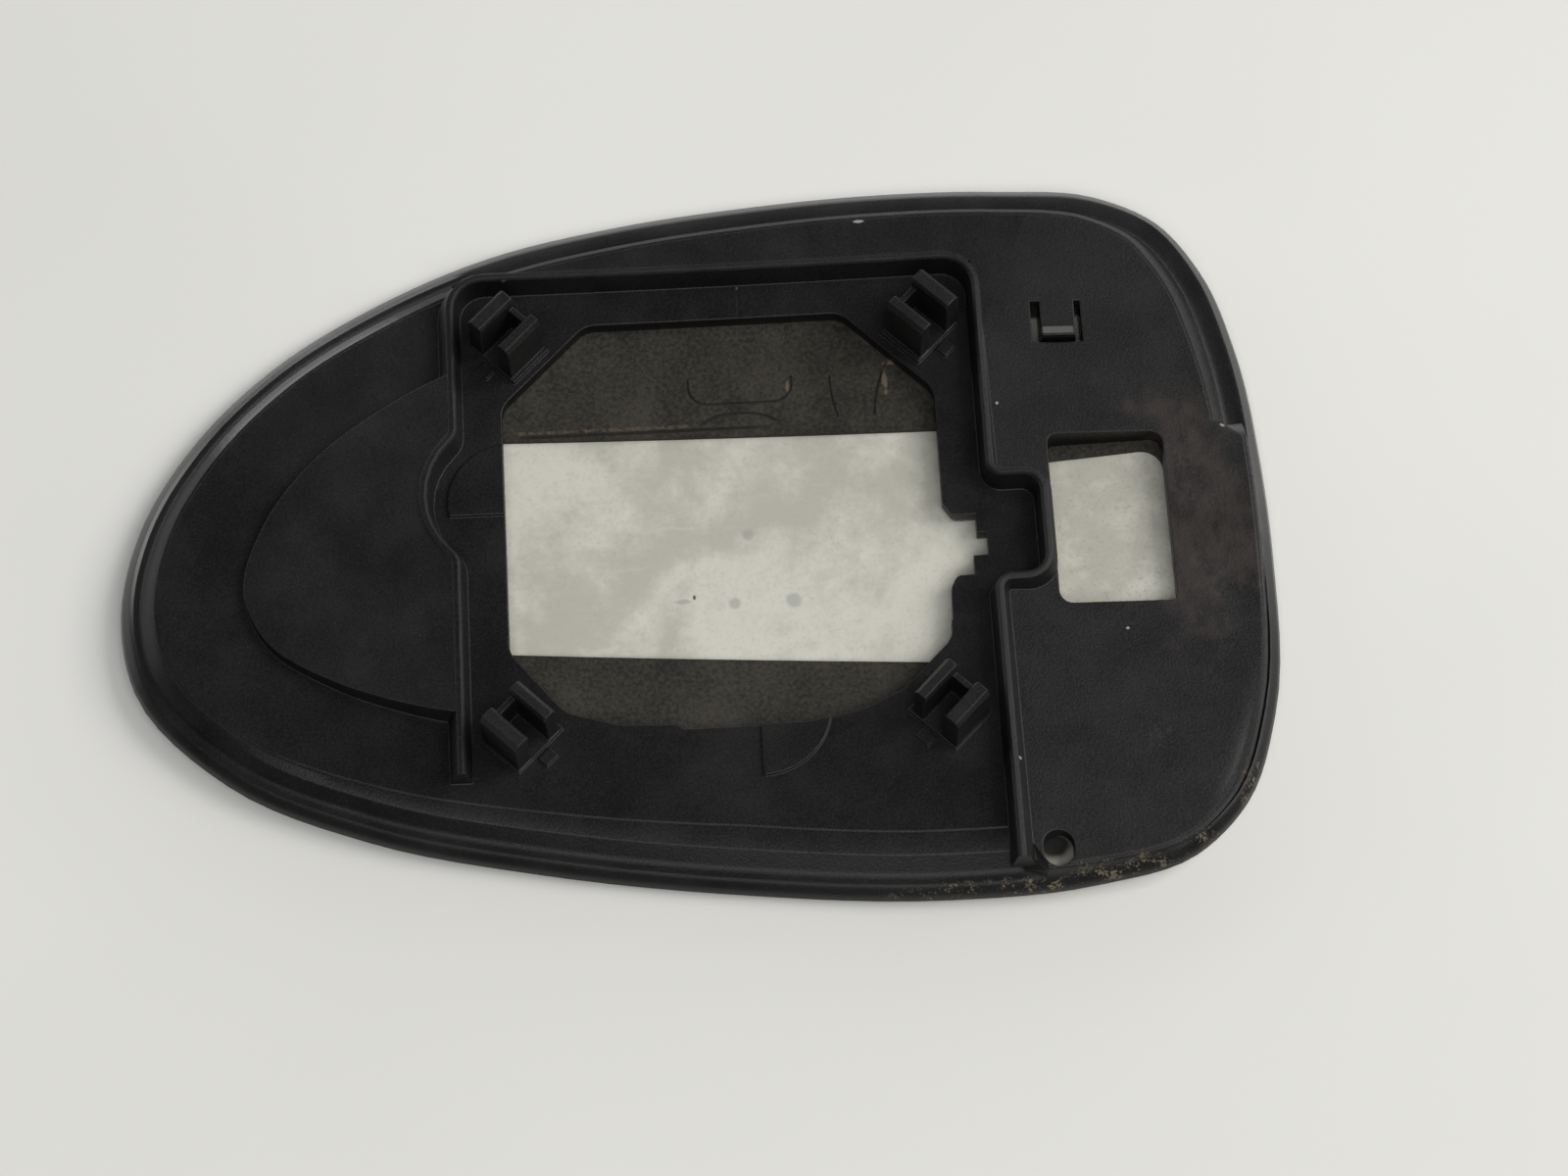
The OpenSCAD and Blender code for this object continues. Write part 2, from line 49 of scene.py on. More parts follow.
class Tree:
    """Adds nodes to a shader tree, from left to right, and feeds their sockets."""

    def __init__(self, tree):
        self.tree = tree
        self.count = 0

    def add(self, kind, inputs=None, **settings):
        node = self.tree.nodes.new(kind)
        node.location = (self.count * NODE_ACROSS, -(self.count % NODE_ROWS) * NODE_DOWN)
        self.count += 1
        for name, value in settings.items():
            setattr(node, name, value)
        for name, value in (inputs or {}).items():
            self.feed(node.inputs[name], value)
        return node

    def feed(self, socket, value):
        if isinstance(value, bpy.types.NodeSocket):
            self.tree.links.new(value, socket)
        else:
            socket.default_value = value

    def maths(self, operation, a, b=0.0, clamp=False):
        return self.add("ShaderNodeMath", {0: a, 1: b}, operation=operation, use_clamp=clamp).outputs[0]

    def plus(self, a, b):
        return self.maths("ADD", a, b)

    def minus(self, a, b):
        return self.maths("SUBTRACT", a, b)

    def times(self, a, b):
        return self.maths("MULTIPLY", a, b)

    def vector(self, operation, a, b=(0.0, 0.0, 0.0)):
        return self.add("ShaderNodeVectorMath", {0: a, 1: b}, operation=operation).outputs["Vector"]

    def length(self, a):
        return self.add("ShaderNodeVectorMath", {0: a}, operation="LENGTH").outputs["Value"]

    def parts(self, a):
        return self.add("ShaderNodeSeparateXYZ", {0: a}).outputs

    def noise(self, place, scale, detail=3.0, roughness=0.55):
        inputs = {"Vector": place, "Scale": scale, "Detail": detail, "Roughness": roughness}
        return self.add("ShaderNodeTexNoise", inputs).outputs["Fac"]

    def cells(self, place, scale):
        inputs = {"Vector": place, "Scale": scale}
        return self.add("ShaderNodeTexVoronoi", inputs, feature="F1").outputs["Distance"]

    def rounded(self, radius, samples):
        return self.add("ShaderNodeBevel", {"Radius": radius}, samples=samples).outputs["Normal"]

    def step(self, value, low, high):
        """0 at low and 1 at high, smooth between them; low may be the greater."""
        inputs = {"Value": value, "From Min": low, "From Max": high}
        return self.add("ShaderNodeMapRange", inputs, interpolation_type="SMOOTHSTEP").outputs["Result"]

    def blend(self, factor, a, b):
        """Colour a where the factor is 0 and b where it is 1."""
        node = self.add("ShaderNodeMix", data_type="RGBA")
        sockets = [s for s in node.inputs if s.enabled]
        for socket, value in zip(sockets, (factor, a, b)):
            self.feed(socket, value)
        return next(s for s in node.outputs if s.enabled)

    def tint(self, colour, other, mask, strength):
        """The colour with some of the other where the mask is."""
        return self.blend(self.times(mask, strength), colour, other)

    def use(self, group, inputs):
        return self.add("ShaderNodeGroup", inputs, node_tree=group).outputs

    def strongest(self, masks):
        total = masks[0]
        for mask in masks[1:]:
            total = self.maths("MAXIMUM", total, mask)
        return total


def new_group(name, inputs, outputs):
    """An empty node group; inputs gives each socket's type and default value."""
    group = bpy.data.node_groups.new(name, "ShaderNodeTree")
    for label, (kind, default) in inputs.items():
        socket = group.interface.new_socket(name=label, in_out="INPUT", socket_type="NodeSocket" + kind)
        socket.default_value = default
    for label, kind in outputs.items():
        group.interface.new_socket(name=label, in_out="OUTPUT", socket_type="NodeSocket" + kind)
    tree = Tree(group)
    return group, tree, tree.add("NodeGroupInput").outputs, tree.add("NodeGroupOutput").inputs


# Share of an oval's half size inside which it is full, and how far its ragged edge wanders
OVAL_CORE = 0.45
OVAL_WANDER = 3.0


def oval_mark_group():
    """A soft oval mark, seen from above, with a ragged edge."""
    group, t, given, result = new_group(
        "oval_mark",
        {
            "Place": ("Vector", (0, 0, 0)),
            "Centre": ("Vector", (0, 0, 0)),
            "Half Size": ("Vector", (0.01, 0.01, 1.0)),
            "Ragged": ("Float", 0.4),
            "Grain": ("Float", 900.0),
        },
        {"Mask": "Float"},
    )
    flat = t.vector("MULTIPLY", t.vector("SUBTRACT", given["Place"], given["Centre"]), FROM_ABOVE)
    reach = t.length(t.vector("DIVIDE", flat, given["Half Size"]))
    grain = t.minus(t.noise(given["Place"], given["Grain"]), 0.5)
    rough = t.times(t.times(grain, given["Ragged"]), OVAL_WANDER)
    t.feed(result["Mask"], t.step(t.plus(reach, rough), 1.0, OVAL_CORE))
    return group


# Length over which a crease fades out where it is cut off
CREASE_FADE = 0.6 * MM


def crease_group():
    """A thin line round a box with rounded corners, seen from above, kept between two heights of Y."""
    group, t, given, result = new_group(
        "crease",
        {
            "Place": ("Vector", (0, 0, 0)),
            "Centre": ("Vector", (0, 0, 0)),
            "Inner Half": ("Vector", (0, 0, 0)),
            "Corner": ("Float", 0.002),
            "Width": ("Float", 0.0005),
            "Lowest Y": ("Float", -1.0),
            "Highest Y": ("Float", 1.0),
        },
        {"Mask": "Float"},
    )
    flat = t.vector("MULTIPLY", t.vector("SUBTRACT", given["Place"], given["Centre"]), FROM_ABOVE)
    out = t.vector("MAXIMUM", t.vector("SUBTRACT", t.vector("ABSOLUTE", flat), given["Inner Half"]))
    away = t.maths("ABSOLUTE", t.minus(t.length(out), given["Corner"]))
    line = t.step(away, given["Width"], 0.0)
    height = t.parts(given["Place"])["Y"]
    over = t.step(height, given["Lowest Y"], t.plus(given["Lowest Y"], CREASE_FADE))
    under = t.step(height, given["Highest Y"], t.minus(given["Highest Y"], CREASE_FADE))
    t.feed(result["Mask"], t.times(line, t.times(over, under)))
    return group


def moulded_skin_group():
    """The fine skin of a moulding, as a height and as a slight change of shade."""
    group, t, given, result = new_group(
        "moulded_skin",
        {
            "Place": ("Vector", (0, 0, 0)),
            "Grain Scale": ("Float", 2600.0),
            "Wave Scale": ("Float", 90.0),
        },
        {"Height": "Float", "Shade": "Float"},
    )
    grain = t.noise(given["Place"], given["Grain Scale"], detail=2.0)
    wave = t.noise(given["Place"], given["Wave Scale"], detail=4.0)
    t.feed(result["Height"], t.plus(grain, t.times(wave, 0.6)))
    t.feed(result["Shade"], t.step(t.plus(grain, wave), 0.6, 1.4))
    return group


# Fineness of the powder that a film of dust is made of
POWDER_SCALE = 3800.0


def dust_group():
    """Fine dust in drifts with a few larger specks."""
    group, t, given, result = new_group(
        "dust",
        {
            "Place": ("Vector", (0, 0, 0)),
            "Drift Scale": ("Float", 45.0),
            "Speck Scale": ("Float", 420.0),
            "Specks": ("Float", 0.06),
        },
        {"Film": "Float", "Specks": "Float"},
    )
    drift = t.step(t.noise(given["Place"], given["Drift Scale"], detail=6.0, roughness=0.65), 0.42, 0.75)
    powder = t.step(t.noise(given["Place"], POWDER_SCALE, detail=1.0), 0.35, 0.75)
    t.feed(result["Film"], t.times(drift, powder))
    t.feed(result["Specks"], t.step(t.cells(given["Place"], given["Speck Scale"]), given["Specks"], 0.0))
    return group


# Soil: fineness of its drifts and their share in the noise, the level that the noise passes where a
# grain lies, how far Amount lowers that level, and the softness of a grain's edge
SOIL_DRIFTS = 420.0
DRIFT_SHARE = 0.7
BARE_LEVEL = 1.05
AMOUNT_REACH = 0.3
GRAIN_EDGE = 0.09


def grit_group():
    """Fine dry soil: loose grains that lie closer together where the noise is high."""
    group, t, given, result = new_group(
        "grit",
        {
            "Place": ("Vector", (0, 0, 0)),
            "Grain Scale": ("Float", 1500.0),
            "Amount": ("Float", 0.5),
        },
        {"Mask": "Float"},
    )
    grains = t.noise(given["Place"], given["Grain Scale"], detail=3.0, roughness=0.75)
    drifts = t.noise(given["Place"], SOIL_DRIFTS, detail=3.0)
    heaped = t.plus(grains, t.times(drifts, DRIFT_SHARE))
    level = t.minus(BARE_LEVEL, t.times(given["Amount"], AMOUNT_REACH))
    t.feed(result["Mask"], t.step(heaped, level, t.plus(level, GRAIN_EDGE)))
    return group


def worn_edge_group():
    """Outer edges, where the moulding is polished and paler."""
    group, t, given, result = new_group(
        "worn_edge",
        {
            "Place": ("Vector", (0, 0, 0)),
            "Width": ("Float", 0.0004),
            "Breaks": ("Float", 160.0),
        },
        {"Mask": "Float"},
    )
    soft = t.rounded(given["Width"], samples=4)
    hard = t.add("ShaderNodeNewGeometry").outputs["Normal"]
    turned = t.length(t.vector("SUBTRACT", soft, hard))
    worn = t.step(t.noise(given["Place"], given["Breaks"], detail=4.0), 0.4, 0.62)
    t.feed(result["Mask"], t.times(t.step(turned, 0.08, 0.5), worn))
    return group


OVAL_MARK = oval_mark_group()
CREASE = crease_group()
MOULDED_SKIN = moulded_skin_group()
DUST = dust_group()
GRIT = grit_group()
WORN_EDGE = worn_edge_group()


def new_material(name, fixed):
    """A material with one Principled shader; fixed holds the values that are even all over."""
    material = bpy.data.materials.new(name)
    material.use_nodes = True
    material.node_tree.nodes.clear()
    tree = Tree(material.node_tree)
    shader = tree.add("ShaderNodeBsdfPrincipled", fixed)
    output = tree.add("ShaderNodeOutputMaterial")
    tree.feed(output.inputs["Surface"], shader.outputs["BSDF"])
    place = tree.add("ShaderNodeTexCoord").outputs["Object"]
    return material, tree, shader, place


def mark(tree, place, x, y, half_x, half_y, ragged, grain=900.0):
    """A soft oval mark at a place on the plate; grain is the fineness of its ragged edge."""
    inputs = {
        "Place": place,
        "Centre": on_plate(x, y),
        "Half Size": (half_x * MM, half_y * MM, 1.0),
        "Ragged": ragged,
        "Grain": grain,
    }
    return tree.use(OVAL_MARK, inputs)["Mask"]


def marks(tree, place, ovals):
    """Several oval marks in one mask; each oval holds what mark() takes after the place."""
    return tree.strongest([mark(tree, place, *oval) for oval in ovals])


def crease(tree, place, x, y, half_x, half_y, corner, width, low, high):
    """A line round a box on the plate, of which only the part between low and high shows."""
    inputs = {
        "Place": place,
        "Centre": on_plate(x, y),
        "Inner Half": ((half_x - corner) * MM, (half_y - corner) * MM, 0.0),
        "Corner": corner * MM,
        "Width": width * MM,
        "Lowest Y": on_plate(0, low).y,
        "Highest Y": on_plate(0, high).y,
    }
    return tree.use(CREASE, inputs)["Mask"]


def stripe(tree, place, x, y, half_x, half_y):
    """A narrow straight mark with crisp sides, along X or Y."""
    apart = tree.vector("ABSOLUTE", tree.vector("SUBTRACT", place, on_plate(x, y)))
    share = tree.parts(tree.vector("DIVIDE", apart, (half_x * MM, half_y * MM, 1.0)))
    return tree.step(tree.maths("MAXIMUM", share["X"], share["Y"]), 1.0, 0.8)


def over_glass(tree, place):
    """Height over the curved front of the glass, which is the same all along a face of the plate."""
    away = tree.length(tree.vector("MULTIPLY", tree.vector("SUBTRACT", place, on_plate(0, 0)), FROM_ABOVE))
    rise = tree.maths("DIVIDE", tree.times(away, away), 2 * GLASS_CURVE)
    return tree.minus(tree.parts(place)["Z"], rise)


# Black plastic

BLACK = (0.003, 0.003, 0.0033, 1.0)
BLACK_PALE = (0.0098, 0.0097, 0.0098, 1.0)
DUST_BROWN = (0.045, 0.039, 0.031, 1.0)
BROWN_FILM = (0.036, 0.028, 0.025, 1.0)
SCUFF_AND_HIGHLIGHT_GREY = (0.042, 0.041, 0.042, 1.0)
SOIL_TAN = (0.2, 0.165, 0.11, 1.0)
# Pale grey of the painted highlight across the tongue's end
TONGUE_HIGHLIGHT_GREY = (0.16, 0.157, 0.15, 1.0)
LINT_AND_HIGHLIGHT_WHITE = (0.42, 0.41, 0.39, 1.0)

# Strength of each finish, and of each painted highlight, over the black, where 1 would hide it
DUST_STRENGTH = 0.14
SPECK_STRENGTH = 0.25
FILM_STRENGTH = 0.75
WORN_STRENGTH = 0.3
SCUFF_AND_HIGHLIGHT_STRENGTH = 0.5
SOIL_STRENGTH = 0.7
LINT_AND_HIGHLIGHT_STRENGTH = 0.7
TONGUE_HIGHLIGHT_STRENGTH = 0.5

# Oval marks: x, y, half width, half height, raggedness and, where it is not 900, grain
FILMED = (71, -1, 12, 24, 0.5, 170)
SCUFFS_AND_CREST_HIGHLIGHT = (
    (71.5, 5, 6, 8, 0.8, 620),
    (74, -13, 4.5, 7, 0.9, 500),
    (62.5, -37.5, 1.8, 3, 0.8, 700),
    # Painted highlight: a long pale streak along the crest of the top strip, laid in as a scuff
    (25, 49.5, 10, 0.8, 0.6, 700),
)
SOILED = (
    (77, -47, 3.6, 7.5, 0.3, 520),
    (71, -54.5, 8, 3.2, 0.3, 520),
    (57, -57.4, 13, 2.4, 0.3, 520),
    (37, -59.2, 18, 2, 0.3, 480),
)
LINT_AND_HIGHLIGHT = (
    (59.5, -20.2, 0.35, 0.25, 0.1),
    (42.5, 16.7, 0.3, 0.3, 0.1),
    # Painted highlight: a bright spot where the top crest's streak ends
    (23.3, 48.4, 1.1, 0.3, 0.1),
    (76.9, 12.2, 0.5, 0.5, 0.2),
    (41.5, -41, 0.3, 0.3, 0.1),
)
POLISHED_CREST = (-62, 27, 26, 19, 0.1)

# Straight marks: x, y, half width and half height
# Painted highlight: a pale stripe across the tongue's end, where light catches its raised bar
TONGUE_END_HIGHLIGHT = (52.7, 28.3, 2.7, 0.6)
BAR_SEAM = (3.9, 37.6, 0.22, 2.9)

# Heights over the glass: the lip ends between the first two, the raised parts begin between the others
LIP_FULL = 3.2 * MM
LIP_END = 4.0 * MM
RAISED_START = 6.5 * MM
RAISED_FULL = 8.5 * MM
# Between these two places along Y the polish of the lip sets in
UPPER_LIP_START = -0.03
UPPER_LIP_FULL = 0.01
UPPER_LIP_POLISH = 0.65
CREST_POLISH = 0.8

SATIN = 0.36
EDGE_ROUNDING = 0.35 * MM
LIP_ROUNDING = 0.9 * MM
SKIN_RELIEF = 0.09 * MM
# Height of the soil and depth of the seam, in units of the skin's relief
SOIL_HEIGHT = 3.0
SEAM_DEPTH = 6.0


def black_plastic():
    """Satin black moulding, dusty all over, scuffed near the blunt end, with soil on the lower rim;
    highlights are painted along the top crest, on a spot at its end and across the tongue's end.
    """
    fixed = {"Specular IOR Level": 0.28, "Coat IOR": 1.65, "Coat Roughness": 0.24}
    material, t, shader, place = new_material("black_plastic", fixed)
    skin = t.use(MOULDED_SKIN, {"Place": place})
    dust = t.use(DUST, {"Place": place})
    grit = t.use(GRIT, {"Place": place, "Amount": 0.46, "Grain Scale": 2300.0})

    film = t.times(dust["Film"], DUST_STRENGTH)
    colour = t.blend(film, t.blend(skin["Shade"], BLACK, BLACK_PALE), DUST_BROWN)
    colour = t.tint(colour, SOIL_TAN, dust["Specks"], SPECK_STRENGTH)
    filmed = mark(t, place, *FILMED)
    streaks = t.step(t.noise(t.vector("MULTIPLY", place, (2.0, 1.0, 1.0)), 210.0, detail=5.0), 0.2, 0.62)
    colour = t.blend(t.times(filmed, t.times(streaks, FILM_STRENGTH)), colour, BROWN_FILM)
    worn = t.use(WORN_EDGE, {"Place": place})["Mask"]
    colour = t.tint(colour, SCUFF_AND_HIGHLIGHT_GREY, worn, WORN_STRENGTH)
    scratches = t.step(t.noise(place, 900.0, detail=6.0, roughness=0.8), 0.46, 0.66)
    # Scuffs near the blunt end, and a painted highlight along the top crest
    scuffs_and_highlight = t.times(marks(t, place, SCUFFS_AND_CREST_HIGHLIGHT), scratches)
    colour = t.tint(colour, SCUFF_AND_HIGHLIGHT_GREY, scuffs_and_highlight, SCUFF_AND_HIGHLIGHT_STRENGTH)
    soil = t.times(marks(t, place, SOILED), grit["Mask"])
    colour = t.tint(colour, SOIL_TAN, soil, SOIL_STRENGTH)
    # White lint specks, and one painted highlight on the top crest
    colour = t.tint(colour, LINT_AND_HIGHLIGHT_WHITE, marks(t, place, LINT_AND_HIGHLIGHT), LINT_AND_HIGHLIGHT_STRENGTH)
    # Painted highlight on the tongue's end bar
    colour = t.tint(colour, TONGUE_HIGHLIGHT_GREY, stripe(t, place, *TONGUE_END_HIGHLIGHT), TONGUE_HIGHLIGHT_STRENGTH)
    t.feed(shader.inputs["Base Color"], colour)

    level = over_glass(t, place)
    raised_part = t.step(level, RAISED_START, RAISED_FULL)
    roughness = t.plus(t.times(skin["Shade"], 0.08), SATIN)
    roughness = t.plus(roughness, t.times(t.plus(film, soil), 0.4))
    roughness = t.maths("ADD", roughness, t.times(raised_part, 0.07), clamp=True)
    t.feed(shader.inputs["Roughness"], roughness)

    # The lip is rounder than the other edges; its upper part and the crest at the pointed end are polished
    lip = t.step(level, LIP_END, LIP_FULL)
    upper = t.step(t.parts(place)["Y"], UPPER_LIP_START, UPPER_LIP_FULL)
    upper_lip = t.times(t.times(lip, upper), UPPER_LIP_POLISH)
    crest = t.times(mark(t, place, *POLISHED_CREST), CREST_POLISH)
    t.feed(shader.inputs["Coat Weight"], t.maths("MAXIMUM", upper_lip, crest))
    rounded = t.rounded(t.plus(t.times(lip, LIP_ROUNDING), EDGE_ROUNDING), samples=8)

    seam = stripe(t, place, *BAR_SEAM)
    heaped = t.minus(t.times(soil, SOIL_HEIGHT), t.times(seam, SEAM_DEPTH))
    height = t.plus(skin["Height"], heaped)
    relief = {"Strength": 0.45, "Distance": SKIN_RELIEF, "Height": height, "Normal": rounded}
    t.feed(shader.inputs["Normal"], t.add("ShaderNodeBump", relief).outputs["Normal"])
    return material


# Adhesive foam

FOAM_DARK = (0.0145, 0.0135, 0.0112, 1.0)
FOAM_LIGHT = (0.047, 0.043, 0.034, 1.0)
FOAM_TEAR_AND_HIGHLIGHT = (0.13, 0.1, 0.066, 1.0)
# Dark brown: painted shade in the foam's creases and under the drain hole, and a dark fleck on the glass
SHADE_AND_FLECK_BROWN = (0.0075, 0.0065, 0.0055, 1.0)

FRAY_STRENGTH = 0.45
TEAR_AND_HIGHLIGHT_STRENGTH = 0.8
CREASE_SHADE_STRENGTH = 0.7

# Laid out as the marks on the plastic are
FRAYED_EDGE = (-17.5, 18.5, 15.5, 0.3)
LONG_CREASE = (-12, 17.75, 21, 0.3)
TORN_AND_HIGHLIGHT = (
    (26, 24.5, 0.55, 2.4, 0.8, 600),
    (26.9, 27.3, 1.5, 0.5, 0.6, 600),
    # Painted highlight: a pale mark at the raised right end of the U-shaped crease
    (10.9, 24, 0.35, 1.6, 0.8, 600),
)
# Creases: x, y, half width, half height, corner, width of the line, lowest and highest Y
CREASED = (
    (3.4, 28, 8, 6.1, 3, 0.35, 21, 26.4),
    (3, 12, 9, 8.2, 8, 0.4, 18.2, 21),
    (37.4, 25, 20.02, 20.02, 20, 0.3, 18.5, 26),
    (44, 18, 20.02, 20.02, 20, 0.35, 18.4, 28),
)
FOAM_RELIEF = 0.25 * MM


def adhesive_foam():
    """Brown-grey foam with a coarse skin, creased and torn in places; shade is painted along the creases
    and a highlight at one crease's end.
    """
    fixed = {"Specular IOR Level": 0.2, "Sheen Weight": 0.05}
    material, t, shader, place = new_material("adhesive_foam", fixed)
    pores = t.noise(place, 1500.0, detail=3.0, roughness=0.7)
    patches = t.noise(place, 120.0, detail=5.0)
    shade = t.step(t.plus(pores, t.times(patches, 0.6)), 0.56, 1.04)
    colour = t.blend(shade, FOAM_DARK, FOAM_LIGHT)
    ragged = t.step(t.noise(place, 900.0, detail=4.0, roughness=0.7), 0.4, 0.6)
    frayed = t.times(stripe(t, place, *FRAYED_EDGE), ragged)
    colour = t.tint(colour, FOAM_TEAR_AND_HIGHLIGHT, frayed, FRAY_STRENGTH)
    # Torn spots, and a painted highlight at a crease's end
    colour = t.tint(colour, FOAM_TEAR_AND_HIGHLIGHT, marks(t, place, TORN_AND_HIGHLIGHT), TEAR_AND_HIGHLIGHT_STRENGTH)
    lines = [crease(t, place, *line) for line in CREASED]
    creases = t.strongest(lines + [stripe(t, place, *LONG_CREASE)])
    # Painted shade along the creases
    colour = t.tint(colour, SHADE_AND_FLECK_BROWN, creases, CREASE_SHADE_STRENGTH)
    t.feed(shader.inputs["Base Color"], colour)
    t.feed(shader.inputs["Roughness"], t.plus(t.times(shade, 0.1), 0.86))
    height = t.minus(t.plus(pores, patches), t.times(creases, 1.5))
    relief = {"Strength": 0.8, "Distance": FOAM_RELIEF, "Height": height}
    t.feed(shader.inputs["Normal"], t.add("ShaderNodeBump", relief).outputs["Normal"])
    return material


# Mirror glass, painted on its back

PAINT = (0.43, 0.42, 0.36, 1.0)
PAINT_PALE = (0.58, 0.57, 0.5, 1.0)
PAINT_STAIN = (0.335, 0.325, 0.285, 1.0)
BUBBLE_GREY = (0.3, 0.3, 0.285, 1.0)
MIRROR_SILVER = (0.86, 0.87, 0.87, 1.0)
GLASS_EDGE = (0.2, 0.24, 0.22, 1.0)

STAIN_STRENGTH = 0.4
WIPED_STRENGTH = 0.3
BUBBLE_STRENGTH = 0.6
FLECK_STRENGTH = 0.9

# Laid out as the marks on the plastic are
BUBBLES = (
    (0.9, -10.9, 1.2, 1.2, 0.08),
    (9.9, -10.9, 1.6, 1.6, 0.08),
    (3.5, 0.3, 1.2, 1.2, 0.08),
    (-6.8, -10.2, 1.6, 0.5, 0.4),
)
DARK_FLECK = (-5.2, -9.6, 0.3, 0.5, 0.2)
# Painted shadow: the plate's wall darkens the glass seen through the drain hole's upper part
DRAIN_SHADOW = (45.9, -52.6, 3.8, 3.0, 0.05)
NEAR_CONNECTOR = (58, 0, 22, 34, 0.2, 200)

# Upward part of the normal where the back begins and is full; the silvered front is the same, downwards
TURNED = 0.6
FLAT = 0.8
PAINT_RELIEF = 0.05 * MM


def silvered_glass():
    """Mirror on the convex face, ground edge, and blotchy pale paint on the back, with a painted shadow
    under the drain hole.
    """
    material, t, shader, place = new_material("silvered_glass", {"Specular IOR Level": 0.5})
    facing = t.parts(t.add("ShaderNodeTexCoord").outputs["Normal"])["Z"]
    front = t.step(facing, -TURNED, -FLAT)
    back = t.step(facing, TURNED, FLAT)

    clouds = t.noise(place, 38.0, detail=6.0, roughness=0.62)
    wisps = t.noise(place, 130.0, detail=5.0, roughness=0.7)
    pale = t.step(t.plus(clouds, t.times(wisps, 0.5)), 0.64, 0.88)
    paint = t.blend(pale, PAINT, PAINT_PALE)
    stains = t.step(t.noise(place, 70.0, detail=6.0, roughness=0.7), 0.56, 0.72)
    paint = t.tint(paint, PAINT_STAIN, stains, STAIN_STRENGTH)
    pits = t.step(t.noise(place, 1500.0, detail=3.0, roughness=0.75), 0.5, 0.7)
    pitted = t.plus(t.times(mark(t, place, *NEAR_CONNECTOR), 0.35), 0.3)
    paint = t.blend(t.times(pits, pitted), paint, PAINT_STAIN)
    wiped = t.noise(t.vector("MULTIPLY", place, (0.25, 1.0, 1.0)), 520.0, detail=4.0, roughness=0.7)
    paint = t.tint(paint, PAINT_PALE, t.step(wiped, 0.55, 0.75), WIPED_STRENGTH)
    paint = t.tint(paint, BUBBLE_GREY, marks(t, place, BUBBLES), BUBBLE_STRENGTH)
    paint = t.tint(paint, SHADE_AND_FLECK_BROWN, mark(t, place, *DARK_FLECK), FLECK_STRENGTH)
    # Painted shadow on the glass under the drain hole
    paint = t.blend(mark(t, place, *DRAIN_SHADOW), paint, SHADE_AND_FLECK_BROWN)

    edge = t.blend(back, GLASS_EDGE, paint)
    t.feed(shader.inputs["Base Color"], t.blend(front, edge, MIRROR_SILVER))
    t.feed(shader.inputs["Metallic"], front)
    rough_back = t.plus(t.times(stains, 0.15), 0.45)
    matt = t.minus(1.0, t.times(front, 0.95))
    t.feed(shader.inputs["Roughness"], t.times(rough_back, matt))
    relief = {"Strength": 0.25, "Distance": PAINT_RELIEF, "Height": t.times(clouds, back)}
    t.feed(shader.inputs["Normal"], t.add("ShaderNodeBump", relief).outputs["Normal"])
    return material


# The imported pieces: smooth curved faces, crisp edges

CRISP_ANGLE = 24
WELD_DISTANCE = 0.002 * MM


def smooth_by_angle(degrees):
    """Geometry nodes that shade a mesh smooth and keep the edges sharper than the angle."""
    tree = bpy.data.node_groups.new("smooth_faces_sharp_edges", "GeometryNodeTree")
    for way in ("INPUT", "OUTPUT"):
        tree.interface.new_socket(name="Geometry", in_out=way, socket_type="NodeSocketGeometry")
    given = tree.nodes.new("NodeGroupInput")
    result = tree.nodes.new("NodeGroupOutput")
    angle = tree.nodes.new("GeometryNodeInputMeshEdgeAngle")
    sharp = tree.nodes.new("FunctionNodeCompare")
    sharp.operation = "GREATER_THAN"
    sharp.inputs[1].default_value = math.radians(degrees)
    edges = tree.nodes.new("GeometryNodeSetShadeSmooth")
    edges.domain = "EDGE"
    edges.inputs["Shade Smooth"].default_value = False
    faces = tree.nodes.new("GeometryNodeSetShadeSmooth")
    faces.domain = "FACE"
    faces.inputs["Shade Smooth"].default_value = True
    tree.links.new(angle.outputs["Unsigned Angle"], sharp.inputs[0])
    tree.links.new(given.outputs[0], faces.inputs["Geometry"])
    tree.links.new(faces.outputs[0], edges.inputs["Geometry"])
    tree.links.new(sharp.outputs[0], edges.inputs["Selection"])
    tree.links.new(edges.outputs[0], result.inputs[0])
    return tree


SMOOTH = smooth_by_angle(CRISP_ANGLE)


def dress(name, material):
    """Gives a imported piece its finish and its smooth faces; its mesh stays as it is."""
    piece = nodes[name]
    for slot in piece.material_slots:
        slot.material = material
    weld = piece.modifiers.new("join_corners", "WELD")
    weld.merge_threshold = WELD_DISTANCE
    smooth = piece.modifiers.new("smooth_faces", "NODES")
    smooth.node_group = SMOOTH


dress("backing_plate", black_plastic())
dress("adhesive_pad", adhesive_foam())
dress("mirror_glass", silvered_glass())


# Table, light and camera

TABLE_TONE = (0.73, 0.727, 0.697, 1.0)
TABLE_SHADE = (0.69, 0.687, 0.66, 1.0)
TABLE_SIZE = 6.0
# The table lies this far below the glass, so that the two never share a plane
TABLE_DROP = 0.02 * MM


def table():
    """A pale top with a faint change of shade."""
    bpy.ops.object.select_all(action="DESELECT")
    bpy.ops.mesh.primitive_plane_add(size=TABLE_SIZE, location=(0, 0, -TABLE_DROP))
    top = bpy.context.object
    top.name = "table"
    fixed = {"Roughness": 0.7, "Specular IOR Level": 0.15}
    material, t, shader, place = new_material("pale_table", fixed)
    clouds = t.step(t.noise(place, 3.0, detail=4.0), 0.35, 0.65)
    t.feed(shader.inputs["Base Color"], t.blend(clouds, TABLE_TONE, TABLE_SHADE))
    top.data.materials.append(material)


